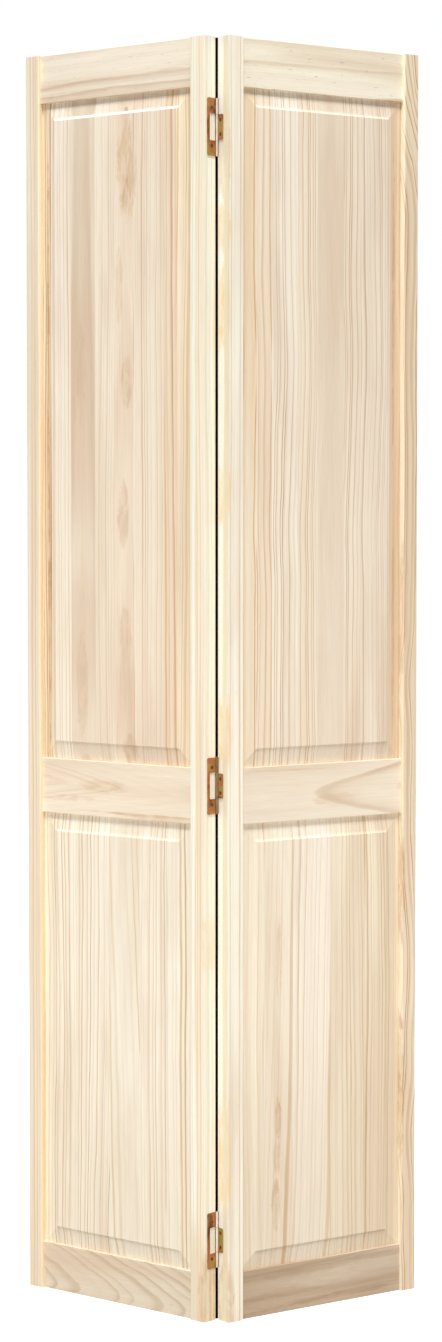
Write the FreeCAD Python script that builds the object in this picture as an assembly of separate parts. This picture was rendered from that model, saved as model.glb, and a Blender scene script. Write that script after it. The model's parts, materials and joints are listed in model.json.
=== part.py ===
import FreeCAD, Part
import math
import os

from FreeCAD import Vector

# A two-leaf bifold closet door in unfinished pine. Each leaf is a doweled frame of two stiles and
# three rails with a tall and a short raised panel. Three hinges join the leaves. The inner leaf of
# each closes into a window in its outer leaf, and their pins lie just behind the back faces, so
# the door folds with its front faces outwards.
#
# All sizes are millimetres, z is up and the leaves stand on z = 0. A leaf is drawn as the
# right-hand leaf of the closed door: u runs outwards from its hinged edge, w runs from its front
# face to its back face, and the hinge pins lie on the z axis. place() then folds it to rest.

# Leaf
DOOR_HEIGHT = 2006.6
LEAF_WIDTH = 374.65
STILE_THICKNESS = 27.0
HINGE_STILE_WIDTH = 29.5
OUTER_STILE_WIDTH = 27.0
RAIL_THICKNESS = 15.9
TOP_RAIL_WIDTH = 76.2
MIDDLE_RAIL_WIDTH = 88.9
BOTTOM_RAIL_WIDTH = 76.2
MIDDLE_RAIL_BOTTOM = 785.0
OUTSIDE_ARRIS = 0.8
INSIDE_ARRIS = 1.5
RAIL_ARRIS = 1.0

# Groove that holds the panels and the rails' tongues
GROOVE_WIDTH = 5.0
GROOVE_DEPTH = 8.0
TONGUE_END_GAP = 0.5

# Raised panels, the same on both faces
PANEL_THICKNESS = 15.0
PANEL_SIDE_GAP = 2.0
PANEL_TOP_GAP = 2.0
PANEL_TONGUE_CLEARANCE = 0.2
FIELD_MARGIN = 29.5
FIELD_STEP_WIDTH = 4.5
FIELD_STEP_HEIGHT = 2.0

# Dowels, two in each end of each rail
DOWEL_DIAMETER = 8.0
DOWEL_IN_STILE = 19.0
DOWEL_IN_RAIL = 30.0
DOWEL_END_GAP = 1.0
DOWEL_CHAMFER = 0.8
DOWEL_CLEARANCE = 0.05
TOP_DOWEL_SPREAD = 22.0
MIDDLE_DOWEL_SPREAD = 40.0
BOTTOM_DOWEL_SPREAD = 22.0

# Hinges
TOP_HINGE_BELOW_TOP = 138.4
MIDDLE_HINGE_ABOVE_RAIL_BOTTOM = 61.3
BOTTOM_HINGE_ABOVE_BOTTOM = 128.0
HINGE_HEIGHT = 88.9
LEAF_GAUGE = 1.2
OUTER_LEAF_REACH = 23.0
INNER_LEAF_REACH = 15.8
INNER_LEAF_HEIGHT = 39.0
WINDOW_SIDE_CLEARANCE = 1.7
WINDOW_END_CLEARANCE = 1.3
LEAF_CORNER = 3.0
WINDOW_CORNER = 2.0
PIN_DIAMETER = 2.8
PIN_CLEARANCE = 0.03
PIN_STAND_OUT = 0.7
KNUCKLE_GAP = 0.25
PIN_BEHIND_BACK_FACE = 2.1
CLOSED_GAP = 2.0
BARREL_RELIEF = 0.4
BARREL_RELIEF_END = 2.0

# Countersunk wood screws
SCREW_LENGTH = 19.0
SCREW_DIAMETER = 3.5
SCREW_ROOT_DIAMETER = 2.4
SCREW_HEAD_DIAMETER = 6.4
SCREW_HEAD_ANGLE = 82.0
SCREW_HEAD_RIM = 0.3
SCREW_PITCH = 1.4
SCREW_POINT = 3.0
SCREW_CLEARANCE = 0.05
RECESS_WIDTH = 1.0
RECESS_LENGTH = 3.6
RECESS_DEPTH = 1.5
OUTER_SCREW_SPREAD = 58.6
OUTER_SCREW_REACH = 12.6
INNER_SCREW_SPREAD = 22.4
INNER_SCREW_REACH = 9.4

# Bores in the outer stiles: the top ones take the top pivot and the guide, and the bottom one takes
# the stouter pivot that the door stands on
TOP_BORE_DIAMETER = 9.525
BOTTOM_BORE_DIAMETER = 11.1125
BORE_DEPTH = 31.75

# How far the door is folded at rest, from flat
REST_FOLD = 74.5

# Derived places
LEFT = -1
RIGHT = 1
AXIS_TO_FRONT = STILE_THICKNESS + PIN_BEHIND_BACK_FACE
MID_DEPTH = STILE_THICKNESS / 2
OPENING_START = HINGE_STILE_WIDTH
OPENING_END = LEAF_WIDTH - OUTER_STILE_WIDTH
TOP_RAIL_BOTTOM = DOOR_HEIGHT - TOP_RAIL_WIDTH
MIDDLE_RAIL_TOP = MIDDLE_RAIL_BOTTOM + MIDDLE_RAIL_WIDTH
BORE_FROM_OUTER_EDGE = (OUTER_STILE_WIDTH - GROOVE_DEPTH) / 2
KNUCKLE_BORE_RADIUS = PIN_DIAMETER / 2 + PIN_CLEARANCE
KNUCKLE_RADIUS = KNUCKLE_BORE_RADIUS + LEAF_GAUGE
SCREW_HEAD_DEPTH = SCREW_HEAD_RIM + (
    (SCREW_HEAD_DIAMETER - SCREW_DIAMETER) / 2 / math.tan(math.radians(SCREW_HEAD_ANGLE / 2)))

# How far a cutting shape runs past what it cuts
OVERCUT = 1.0

RAILS = {
    "top": (TOP_RAIL_BOTTOM, DOOR_HEIGHT),
    "middle": (MIDDLE_RAIL_BOTTOM, MIDDLE_RAIL_TOP),
    "bottom": (0.0, BOTTOM_RAIL_WIDTH),
}

# The height of solid wood that each rail's dowels are centred in, clear of its grooves and of the
# bores in the stile beside it, and how far apart the two dowels are
DOWEL_ZONES = {
    "top": (TOP_RAIL_BOTTOM + GROOVE_DEPTH, DOOR_HEIGHT - BORE_DEPTH, TOP_DOWEL_SPREAD),
    "middle": (MIDDLE_RAIL_BOTTOM + GROOVE_DEPTH, MIDDLE_RAIL_TOP - GROOVE_DEPTH, MIDDLE_DOWEL_SPREAD),
    "bottom": (BORE_DEPTH, BOTTOM_RAIL_WIDTH - GROOVE_DEPTH, BOTTOM_DOWEL_SPREAD),
}
PANELS = {
    "upper": (MIDDLE_RAIL_TOP, TOP_RAIL_BOTTOM),
    "lower": (BOTTOM_RAIL_WIDTH, MIDDLE_RAIL_BOTTOM),
}
HINGES = {
    "top": DOOR_HEIGHT - TOP_HINGE_BELOW_TOP,
    "middle": MIDDLE_RAIL_BOTTOM + MIDDLE_HINGE_ABOVE_RAIL_BOTTOM,
    "bottom": BOTTOM_HINGE_ABOVE_BOTTOM,
}


def resting_axis_y():
    """Y of the hinge axis that centres the folded door's box on y = 0."""
    half_fold = math.radians(REST_FOLD / 2)
    near = CLOSED_GAP / 2 + OUTSIDE_ARRIS
    far = CLOSED_GAP / 2 + LEAF_WIDTH - OUTSIDE_ARRIS
    front = AXIS_TO_FRONT - OUTSIDE_ARRIS
    back = PIN_BEHIND_BACK_FACE + OUTSIDE_ARRIS
    lowest = near * math.sin(half_fold) - front * math.cos(half_fold) - OUTSIDE_ARRIS
    highest = far * math.sin(half_fold) - back * math.cos(half_fold) + OUTSIDE_ARRIS
    return -(lowest + highest) / 2


AXIS_Y = resting_axis_y()


def at(u, w, z):
    """A point of the flat right-hand leaf."""
    return Vector(CLOSED_GAP / 2 + u, w - AXIS_TO_FRONT, z)


def block(u_range, w_range, z_range):
    """A square-edged block between two values of u, w and z."""
    start = at(u_range[0], w_range[0], z_range[0])
    size = at(u_range[1], w_range[1], z_range[1]) - start
    return Part.makeBox(size.x, size.y, size.z, start)


def rounded_face(corners, radii):
    """A flat face whose corners are rounded, each by its own radius; 0 leaves a corner sharp."""
    edges = []
    joints = []
    for index, (corner, radius) in enumerate(zip(corners, radii)):
        back = (corners[index - 1] - corner).normalize()
        ahead = (corners[(index + 1) % len(corners)] - corner).normalize()
        half_angle = back.getAngle(ahead) / 2
        inward = (back + ahead).normalize()
        tangent = radius / math.tan(half_angle)
        start = corner + back * tangent
        end = corner + ahead * tangent
        joints.append((start, end))
        if radius > 0:
            middle = corner + inward * (radius / math.sin(half_angle) - radius)
            edges.append(Part.Arc(start, middle, end).toShape())
    for index, (start, end) in enumerate(joints):
        edges.append(Part.LineSegment(end, joints[(index + 1) % len(joints)][0]).toShape())
    return Part.Face(Part.Wire(Part.__sortEdges__(edges)))


def centred(depth):
    """The range of w that is this deep and centred in the leaf."""
    return (MID_DEPTH - depth / 2, MID_DEPTH + depth / 2)


def place(shape, side):
    """Fold a flat right-hand piece to its resting place on one side of the hinge axis."""
    placed = shape.copy() if side == RIGHT else shape.mirror(Vector(0, 0, 0), Vector(1, 0, 0))
    placed.rotate(Vector(0, 0, 0), Vector(0, 0, 1), side * REST_FOLD / 2)
    placed.translate(Vector(0, AXIS_Y, 0))
    return placed


def dowel_heights(rail):
    """Heights of the two dowels in each end of a rail."""
    low, high, spread = DOWEL_ZONES[rail]
    middle = (low + high) / 2
    return (middle - spread / 2, middle + spread / 2)


def dowel_hole(shoulder, inward, height):
    """The hole for one dowel across a joint; inward is the direction from stile to rail."""
    radius = DOWEL_DIAMETER / 2 + DOWEL_CLEARANCE
    length = DOWEL_IN_STILE + DOWEL_IN_RAIL + 2 * DOWEL_END_GAP
    start = at(shoulder - inward * (DOWEL_IN_STILE + DOWEL_END_GAP), MID_DEPTH, height)
    return Part.makeCylinder(radius, length, start, Vector(inward, 0, 0))


def dowel(shoulder, inward, height):
    """One hardwood dowel with chamfered ends."""
    radius = DOWEL_DIAMETER / 2
    length = DOWEL_IN_STILE + DOWEL_IN_RAIL
    start = at(shoulder - inward * DOWEL_IN_STILE, MID_DEPTH, height)
    body = Part.makeCylinder(radius, length, start, Vector(inward, 0, 0))
    rims = [edge for edge in body.Edges if isinstance(edge.Curve, Part.Circle)]
    return body.makeChamfer(DOWEL_CHAMFER, rims)


SHOULDERS = ((OPENING_START, 1), (OPENING_END, -1))


def rail_dowels(rail):
    """The four dowels of one rail."""
    return [dowel(shoulder, inward, height)
            for shoulder, inward in SHOULDERS for height in dowel_heights(rail)]


def plain_stile(u_range, opening_side):
    """A stile with its groove; opening_side is 1 where the panels are on its outer side."""
    start, end = u_range
    corners = [at(start, 0, 0), at(end, 0, 0), at(end, STILE_THICKNESS, 0),
               at(start, STILE_THICKNESS, 0)]
    if opening_side > 0:
        edge, start_arris, end_arris = end, OUTSIDE_ARRIS, INSIDE_ARRIS
    else:
        edge, start_arris, end_arris = start, INSIDE_ARRIS, OUTSIDE_ARRIS
    radii = [start_arris, end_arris, end_arris, start_arris]
    stile = rounded_face(corners, radii).extrude(Vector(0, 0, DOOR_HEIGHT))
    across = sorted((edge - opening_side * GROOVE_DEPTH, edge + opening_side * OVERCUT))
    groove = block(across, centred(GROOVE_WIDTH), (-OVERCUT, DOOR_HEIGHT + OVERCUT))
    stile = stile.cut(groove)
    for rail in RAILS:
        for height in dowel_heights(rail):
            stile = stile.cut(dowel_hole(edge, opening_side, height))
    return stile


def hinge_stile(screw_spread, screw_reach):
    """The stile that carries the hinges, relieved for their barrels and drilled for their screws."""
    stile = plain_stile((0, HINGE_STILE_WIDTH), 1)
    for height in HINGES.values():
        relief_length = HINGE_HEIGHT + 2 * BARREL_RELIEF_END
        relief = Part.makeCylinder(KNUCKLE_RADIUS + BARREL_RELIEF, relief_length,
                                   Vector(0, 0, height - relief_length / 2))
        stile = stile.cut(relief)
        for screw_height in screw_heights(height, screw_spread):
            stile = stile.cut(screw_hole(screw_reach, screw_height))
    return stile


def outer_stile(bored_ends):
    """The stile on the free edge, bored in the given ends for a pivot or guide pin."""
    stile = plain_stile((OPENING_END, LEAF_WIDTH), -1)
    for end in bored_ends:
        if end == "top":
            diameter, height, inward = TOP_BORE_DIAMETER, DOOR_HEIGHT, -1
        else:
            diameter, height, inward = BOTTOM_BORE_DIAMETER, 0, 1
        mouth = at(LEAF_WIDTH - BORE_FROM_OUTER_EDGE, MID_DEPTH, height)
        bore = Part.makeCylinder(diameter / 2, BORE_DEPTH, mouth, Vector(0, 0, inward))
        stile = stile.cut(bore)
    return stile


def rail_piece(rail):
    """A rail with a tongue on each end, grooved on each edge that holds a panel."""
    bottom, top = RAILS[rail]
    front, back = centred(RAIL_THICKNESS)
    corners = [at(OPENING_START, front, bottom), at(OPENING_START, back, bottom),
               at(OPENING_START, back, top), at(OPENING_START, front, top)]
    body = rounded_face(corners, [RAIL_ARRIS] * 4).extrude(Vector(OPENING_END - OPENING_START, 0, 0))
    tongue_length = GROOVE_DEPTH - TONGUE_END_GAP
    tongue = block((OPENING_START - tongue_length, OPENING_END + tongue_length),
                   centred(GROOVE_WIDTH), (bottom, top))
    piece = body.fuse(tongue).removeSplitter()
    for edge, has_panel in ((bottom, rail != "bottom"), (top, rail != "top")):
        if has_panel:
            piece = piece.cut(block((OPENING_START - GROOVE_DEPTH, OPENING_END + GROOVE_DEPTH),
                                    centred(GROOVE_WIDTH), (edge - GROOVE_DEPTH, edge + GROOVE_DEPTH)))
    for shoulder, inward in SHOULDERS:
        for height in dowel_heights(rail):
            piece = piece.cut(dowel_hole(shoulder, inward, height))
    return piece


def field_profile(tongue_depth):
    """Half of the panel's edge profile, as (distance in from the edge, half thickness) points.

    It runs along the tongue, then up the bevel to the foot and the top of the cove round the field.
    """
    tongue = GROOVE_WIDTH / 2 - PANEL_TONGUE_CLEARANCE
    field = PANEL_THICKNESS / 2
    step_end = tongue_depth + FIELD_MARGIN
    foot = Vector(step_end - FIELD_STEP_WIDTH, field - FIELD_STEP_HEIGHT, 0)
    return [Vector(0, tongue, 0), Vector(tongue_depth, tongue, 0), foot, Vector(step_end, field, 0)]


def cove_middle(bevel_start, foot, top):
    """The middle of the hollow arc that leaves the bevel tangentially and ends at the field."""
    along = (foot - bevel_start).normalize()
    normal = Vector(-along.y, along.x, 0)
    chord = top - foot
    radius = chord.Length ** 2 / (2 * chord.dot(normal))
    centre = foot + normal * radius
    outward = ((foot - centre).normalize() + (top - centre).normalize()).normalize()
    return centre + outward * radius


def panel_section(length, start_tongue, end_tongue, to_point):
    """The panel's cross-section; to_point maps (distance along, offset from mid depth) to space."""
    profiles = (field_profile(start_tongue), field_profile(end_tongue))
    edges = []
    for face in (-1, 1):
        tops = []
        for profile, mirrored in zip(profiles, (False, True)):
            edge, bevel_start, foot, top = profile
            middle = cove_middle(bevel_start, foot, top)
            points = [to_point(length - p.x if mirrored else p.x, face * p.y)
                      for p in (edge, bevel_start, foot, middle, top)]
            edges.append(Part.LineSegment(points[0], points[1]).toShape())
            edges.append(Part.LineSegment(points[1], points[2]).toShape())
            edges.append(Part.Arc(points[2], points[3], points[4]).toShape())
            tops.append(points[4])
        edges.append(Part.LineSegment(tops[0], tops[1]).toShape())
    tongue = profiles[0][0].y
    for distance in (0, length):
        edges.append(Part.LineSegment(to_point(distance, -tongue), to_point(distance, tongue)).toShape())
    return Part.Face(Part.Wire(Part.__sortEdges__(edges)))


def panel_piece(panel):
    """A raised panel, loose in its grooves and standing on the floor of the lowest one."""
    opening_bottom, opening_top = PANELS[panel]
    side_tongue = GROOVE_DEPTH - PANEL_SIDE_GAP
    top_tongue = GROOVE_DEPTH - PANEL_TOP_GAP
    left = OPENING_START - side_tongue
    bottom = opening_bottom - GROOVE_DEPTH
    width = OPENING_END + side_tongue - left
    height = opening_top + top_tongue - bottom
    across = panel_section(width, side_tongue, side_tongue,
                           lambda along, offset: at(left + along, MID_DEPTH + offset, bottom))
    upright = panel_section(height, GROOVE_DEPTH, top_tongue,
                            lambda along, offset: at(left, MID_DEPTH + offset, bottom + along))
    return across.extrude(Vector(0, 0, height)).common(upright.extrude(Vector(width, 0, 0)))


def screw_heights(hinge_height, spread):
    """Heights of the two screws of one hinge leaf."""
    return (hinge_height - spread / 2, hinge_height + spread / 2)


def screw_profile(clearance):
    """Radius against depth of a screw, head first, opened out by a clearance and without threads."""
    head = SCREW_HEAD_DIAMETER / 2 + clearance
    shank = SCREW_DIAMETER / 2 + clearance
    return [(0, 0), (head, 0), (head, SCREW_HEAD_RIM), (shank, SCREW_HEAD_DEPTH)]


def turned(profile, reach, height):
    """Turn a profile of (radius, depth) about a screw's axis, from the hinge leaf's face inwards."""
    head = Vector(CLOSED_GAP / 2 - LEAF_GAUGE, -reach, height)
    points = [head + Vector(depth, radius, 0) for radius, depth in profile]
    face = Part.Face(Part.makePolygon(points + [points[0]]))
    return face.revolve(head, Vector(1, 0, 0), 360)


def screw_hole(reach, height):
    """The countersunk hole of one screw, through the hinge leaf into the stile."""
    depth = SCREW_LENGTH + SCREW_CLEARANCE
    profile = screw_profile(SCREW_CLEARANCE)
    profile += [(profile[-1][0], depth), (0, depth)]
    return turned(profile, reach, height)


def screw(reach, height):
    """One countersunk wood screw with rolled threads, a point and a cross recess."""
    profile = screw_profile(0)
    thread = SCREW_DIAMETER / 2
    root = SCREW_ROOT_DIAMETER / 2
    threads = int((SCREW_LENGTH - SCREW_POINT - SCREW_HEAD_DEPTH) / SCREW_PITCH)
    for turn in range(threads):
        start = SCREW_HEAD_DEPTH + turn * SCREW_PITCH
        profile += [(root, start + SCREW_PITCH / 2), (thread, start + SCREW_PITCH)]
    profile += [(root, SCREW_LENGTH - SCREW_POINT), (0, SCREW_LENGTH)]
    body = turned(profile, reach, height)
    face = Vector(CLOSED_GAP / 2 - LEAF_GAUGE, -reach, height)
    for across, along in ((RECESS_LENGTH, RECESS_WIDTH), (RECESS_WIDTH, RECESS_LENGTH)):
        corner = face - Vector(0, across / 2, along / 2)
        body = body.cut(Part.makeBox(RECESS_DEPTH, across, along, corner))
    return body


def leaf_plate(reach, height, hinge_height):
    """A hinge leaf's flat plate, with rounded outer corners, from its tip to the pin."""
    x = CLOSED_GAP / 2 - LEAF_GAUGE
    low = hinge_height - height / 2
    high = hinge_height + height / 2
    corners = [Vector(x, -reach, low), Vector(x, 0, low), Vector(x, 0, high), Vector(x, -reach, high)]
    face = rounded_face(corners, [LEAF_CORNER, 0, 0, LEAF_CORNER])
    return face.extrude(Vector(LEAF_GAUGE, 0, 0))


def knuckle(low, high):
    """One knuckle's outside, about the hinge axis."""
    return Part.makeCylinder(KNUCKLE_RADIUS, high - low, Vector(0, 0, low))


def pin_hole(hinge_height):
    """The hole for the pin through every knuckle of a hinge."""
    length = HINGE_HEIGHT + 2 * OVERCUT
    return Part.makeCylinder(KNUCKLE_BORE_RADIUS, length, Vector(0, 0, hinge_height - length / 2))


def outer_hinge_leaf(height):
    """The leaf with a knuckle at each end and a window that the inner leaf closes into."""
    plate = leaf_plate(OUTER_LEAF_REACH, HINGE_HEIGHT, height)
    half_window = INNER_LEAF_HEIGHT / 2 + WINDOW_END_CLEARANCE
    reach = INNER_LEAF_REACH + WINDOW_SIDE_CLEARANCE
    x = CLOSED_GAP / 2 - LEAF_GAUGE
    corners = [Vector(x, -reach, height - half_window), Vector(x, KNUCKLE_RADIUS, height - half_window),
               Vector(x, KNUCKLE_RADIUS, height + half_window), Vector(x, -reach, height + half_window)]
    window = rounded_face(corners, [WINDOW_CORNER, 0, 0, WINDOW_CORNER]).extrude(Vector(LEAF_GAUGE, 0, 0))
    plate = plate.cut(window)
    inner_end = INNER_LEAF_HEIGHT / 2 + KNUCKLE_GAP
    leaf = plate.fuse(knuckle(height - HINGE_HEIGHT / 2, height - inner_end))
    leaf = leaf.fuse(knuckle(height + inner_end, height + HINGE_HEIGHT / 2))
    leaf = leaf.cut(pin_hole(height))
    for screw_height in screw_heights(height, OUTER_SCREW_SPREAD):
        leaf = leaf.cut(screw_hole(OUTER_SCREW_REACH, screw_height))
    return leaf.removeSplitter()


def inner_hinge_leaf(height):
    """The leaf with the middle knuckle, small enough to close into the outer leaf's window."""
    plate = leaf_plate(INNER_LEAF_REACH, INNER_LEAF_HEIGHT, height)
    leaf = plate.fuse(knuckle(height - INNER_LEAF_HEIGHT / 2, height + INNER_LEAF_HEIGHT / 2))
    leaf = leaf.cut(pin_hole(height))
    for screw_height in screw_heights(height, INNER_SCREW_SPREAD):
        leaf = leaf.cut(screw_hole(INNER_SCREW_REACH, screw_height))
    return leaf.removeSplitter()


def hinge_pin(height):
    """A pin that stands out a little at both ends of the barrel, with rounded ends."""
    length = HINGE_HEIGHT + 2 * PIN_STAND_OUT
    pin = Part.makeCylinder(PIN_DIAMETER / 2, length, Vector(0, 0, height - length / 2))
    rims = [edge for edge in pin.Edges if isinstance(edge.Curve, Part.Circle)]
    return pin.makeFillet(PIN_STAND_OUT, rims)


def leaf_pieces(side, name, screw_spread, screw_reach, bored_ends):
    """Every wooden piece of one leaf, by node name."""
    flat = {
        f"{name}_hinge_stile": [hinge_stile(screw_spread, screw_reach)],
        f"{name}_outer_stile": [outer_stile(bored_ends)],
    }
    for rail in RAILS:
        flat[f"{name}_{rail}_rail"] = [rail_piece(rail)]
        flat[f"{name}_{rail}_rail_dowels"] = rail_dowels(rail)
    for panel in PANELS:
        flat[f"{name}_{panel}_panel"] = [panel_piece(panel)]
    return {node: [place(piece, side) for piece in pieces] for node, pieces in flat.items()}


def hinge_pieces(position, height):
    """Every metal piece of one hinge, by node name."""
    outer_screws = [screw(OUTER_SCREW_REACH, z) for z in screw_heights(height, OUTER_SCREW_SPREAD)]
    inner_screws = [screw(INNER_SCREW_REACH, z) for z in screw_heights(height, INNER_SCREW_SPREAD)]
    return {
        f"{position}_hinge_outer_leaf": [place(outer_hinge_leaf(height), LEFT)],
        f"{position}_hinge_inner_leaf": [place(inner_hinge_leaf(height), RIGHT)],
        f"{position}_hinge_pin": [place(hinge_pin(height), RIGHT)],
        f"{position}_hinge_left_screws": [place(piece, LEFT) for piece in outer_screws],
        f"{position}_hinge_right_screws": [place(piece, RIGHT) for piece in inner_screws],
    }


def main():
    nodes = {}
    nodes.update(leaf_pieces(LEFT, "left", OUTER_SCREW_SPREAD, OUTER_SCREW_REACH, ("top", "bottom")))
    nodes.update(leaf_pieces(RIGHT, "right", INNER_SCREW_SPREAD, INNER_SCREW_REACH, ("top",)))
    for position, height in HINGES.items():
        nodes.update(hinge_pieces(position, height))
    os.makedirs("parts", exist_ok=True)
    for node, pieces in nodes.items():
        solids = [solid for piece in pieces for solid in piece.Solids]
        shape = solids[0] if len(solids) == 1 else Part.makeCompound(solids)
        shape.exportStep(f"parts/{node}.step")
        print(node, len(solids), round(sum(solid.Volume for solid in solids) / 1000, 2), "cm3")


main()
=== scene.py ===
import json
import math
from dataclasses import dataclass

import bpy
from mathutils import Euler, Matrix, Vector


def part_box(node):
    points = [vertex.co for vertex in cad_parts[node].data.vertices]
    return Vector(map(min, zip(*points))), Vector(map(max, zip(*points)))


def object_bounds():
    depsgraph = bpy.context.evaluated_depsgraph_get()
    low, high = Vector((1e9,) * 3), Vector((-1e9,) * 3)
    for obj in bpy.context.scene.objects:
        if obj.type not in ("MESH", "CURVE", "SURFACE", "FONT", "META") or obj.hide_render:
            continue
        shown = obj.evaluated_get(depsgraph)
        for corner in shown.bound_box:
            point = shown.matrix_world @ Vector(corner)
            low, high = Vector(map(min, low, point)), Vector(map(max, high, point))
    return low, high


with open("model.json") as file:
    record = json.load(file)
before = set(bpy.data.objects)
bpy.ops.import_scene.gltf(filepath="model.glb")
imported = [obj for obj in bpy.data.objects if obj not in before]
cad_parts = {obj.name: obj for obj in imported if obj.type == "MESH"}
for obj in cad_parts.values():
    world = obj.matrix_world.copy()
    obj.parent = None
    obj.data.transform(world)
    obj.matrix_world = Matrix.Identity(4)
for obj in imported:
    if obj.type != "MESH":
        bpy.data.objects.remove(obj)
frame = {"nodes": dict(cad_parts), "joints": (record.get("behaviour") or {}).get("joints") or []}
cad_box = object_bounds()

# The finish, lighting and camera of a two-leaf bifold closet door in unfinished pine.
#
# Each board is coloured as if it were cut from a solid log. A point of a leaf has three places, in
# metres: across, outwards from the hinge axis; depth, from that axis towards the back face; and its
# height. The growth rings are cones about a pith line at a chosen place in or beside the board, so
# straight grain, arches and end grain all come from where the board was cut.

# The hinge joint gives the axis. Its lower limit is the flat door, so each leaf stands half of that
# angle away from flat at rest.
FOLD = next(joint for joint in frame["joints"] if joint["name"] == "fold")
AXIS = Vector(FOLD["pos_m"])
LEAF_TURN = math.radians(-FOLD["range_deg"][0]) / 2
SIDES = {"left": -1, "right": 1}
LEVELS = ("top", "middle", "bottom")
UP = (0, 0, 1)
FORWARDS = (0, -1, 0)


def tint(red, green, blue):
    """A display colour, 0 to 255, as the linear colour that the shaders take."""
    def linear(value):
        value = value / 255
        return value / 12.92 if value <= 0.04045 else ((value + 0.055) / 1.055) ** 2.4
    return (linear(red), linear(green), linear(blue), 1.0)


# ---- Node graphs ----

class Graph:
    """A node tree, emptied, with short calls for the nodes used most."""

    def __init__(self, tree):
        self.tree = tree
        tree.nodes.clear()

    def feed(self, socket, value):
        if isinstance(value, bpy.types.NodeSocket):
            self.tree.links.new(value, socket)
        else:
            socket.default_value = value

    def add(self, kind, inputs=None, **settings):
        node = self.tree.nodes.new(kind)
        for name, value in settings.items():
            setattr(node, name, value)
        for name, value in (inputs or {}).items():
            self.feed(node.inputs[name], value)
        return node

    def coordinate(self, kind):
        """A point's place, Object, or the way its surface faces, Normal, in the door's own frame."""
        return self.add("ShaderNodeTexCoord").outputs[kind]

    def math(self, operation, *values):
        return self.add("ShaderNodeMath", dict(enumerate(values)), operation=operation).outputs[0]

    def vector_math(self, operation, *values):
        return self.add("ShaderNodeVectorMath", dict(enumerate(values)), operation=operation).outputs

    def dot(self, vector, direction):
        return self.vector_math("DOT_PRODUCT", vector, tuple(direction))["Value"]

    def stretch(self, vector, factors):
        return self.vector_math("MULTIPLY", vector, factors)[0]

    def combine(self, x, y, z):
        return self.add("ShaderNodeCombineXYZ", {"X": x, "Y": y, "Z": z}).outputs[0]

    def noise(self, point, repeats, detail=2.0, roughness=0.5, distortion=0.0):
        """Noise from about 0 to 1 with its middle at 0.5. repeats: how many to a metre, for each axis."""
        inputs = {"Vector": self.stretch(point, repeats), "Scale": 1.0, "Detail": detail,
                  "Roughness": roughness, "Distortion": distortion}
        return self.add("ShaderNodeTexNoise", inputs).outputs["Fac"]

    def grain(self, place, across, along, **settings):
        """Noise drawn out along the grain, with so many repeats to a metre across and along it."""
        return self.noise(place, (across, across, along), **settings)

    def noise_1d(self, value):
        inputs = {"W": value, "Scale": 1.0, "Detail": 2.0}
        return self.add("ShaderNodeTexNoise", inputs, noise_dimensions="1D").outputs["Fac"]

    def span(self, value, low, high, to_low=0.0, to_high=1.0):
        """A value's share of the way from low to high, eased, and mapped to another range."""
        inputs = {"Value": value, "From Min": low, "From Max": high, "To Min": to_low, "To Max": to_high}
        return self.add("ShaderNodeMapRange", inputs, interpolation_type="SMOOTHSTEP").outputs[0]

    def ramp(self, value, stops, interpolation="LINEAR"):
        """Colours, or plain numbers as greys, at places from 0 to 1."""
        node = self.add("ShaderNodeValToRGB", {"Fac": value})
        elements = node.color_ramp.elements
        while len(elements) > 1:
            elements.remove(elements[-1])
        for index, (place, colour) in enumerate(stops):
            element = elements[0] if index == 0 else elements.new(place)
            element.position = place
            element.color = colour if isinstance(colour, tuple) else (colour, colour, colour, 1.0)
        node.color_ramp.interpolation = interpolation
        return node.outputs["Color"]

    def mix(self, factor, first, second):
        return self.add("ShaderNodeMix", {0: factor, 6: first, 7: second}, data_type="RGBA").outputs[2]


class MaterialGraph(Graph):
    """The node tree of a new material."""

    def __init__(self, name):
        self.material = bpy.data.materials.new(name)
        self.material.use_nodes = True
        super().__init__(self.material.node_tree)

    def finish(self, shader):
        self.add("ShaderNodeOutputMaterial", {"Surface": shader.outputs[0]})
        return self.material


# ---- Boards ----

@dataclass
class Strip:
    """One strip of wood as cut from its log, seen on a board's face. Sizes are in metres."""
    width: float            # across the board
    pith: tuple             # place of the pith line, across the grain and in depth
    spacing: float          # width of a ring
    pale: tuple             # display colour of the early wood
    late: tuple             # display colour of the late wood
    lines: float = 1.0      # how strongly the late wood shows
    streaks: float = 0.5    # how strongly long pale and tan streaks show
    lean: float = 0.0       # how far the pith line shifts across for each metre along
    taper: float = 0.0      # what a point's radius gains for each metre along


@dataclass
class Board:
    """How one board, or one panel glued from strips, is cut and coloured.

    A place on it is two numbers, across its grain and along it.
    """
    name: str
    start: float                # where its first strip starts
    strips: list
    along: str = "height"       # which way its grain runs, height or across
    middle: float = 1.0         # place along the grain where lean and taper count from
    seed: float = 0.0           # where along the grain its noises are read from
    wander: float = 1.0         # how much its lines waver
    soft: float = 0.0           # share of the soft ring profile, the rest being the sharp one
    seen_to: float = None       # radius past which its rings are faint
    sweeps: tuple = ()          # bends in its lines: place along the grain, sideways shift, reach
    knots: tuple = ()           # place and half width
    flecks: float = 0.1         # how strongly resin ducts show
    clouds: float = 0.45        # how strongly broad dull and clear patches show
    fills: tuple = ()           # stains of a whole strip, with the same numbers as stains
    stains_and_shades: tuple = ()          # stains, and painted shade low on the lower panels: place, half width, half length, amount and colour
    slope: float = 0.0          # how much paler its upward slopes are, a painted highlight
    edge: float = 0.0           # how far its edges and the stiles' inner walls take the two paler colours below, a painted highlight
    edge_highlight_colour: tuple = tint(255, 238, 200)
    edge_highlight_late: tuple = tint(240, 214, 160)

    @property
    def width(self):
        return sum(strip.width for strip in self.strips)


@dataclass
class Spot:
    """Sockets that say where a point of a board is."""
    wide: object            # across the grain
    length: object          # along the grain
    depth: object           # from the hinge axis towards the back face
    position: object        # share of the board's width
    place: object = None    # where its noises are read


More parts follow.
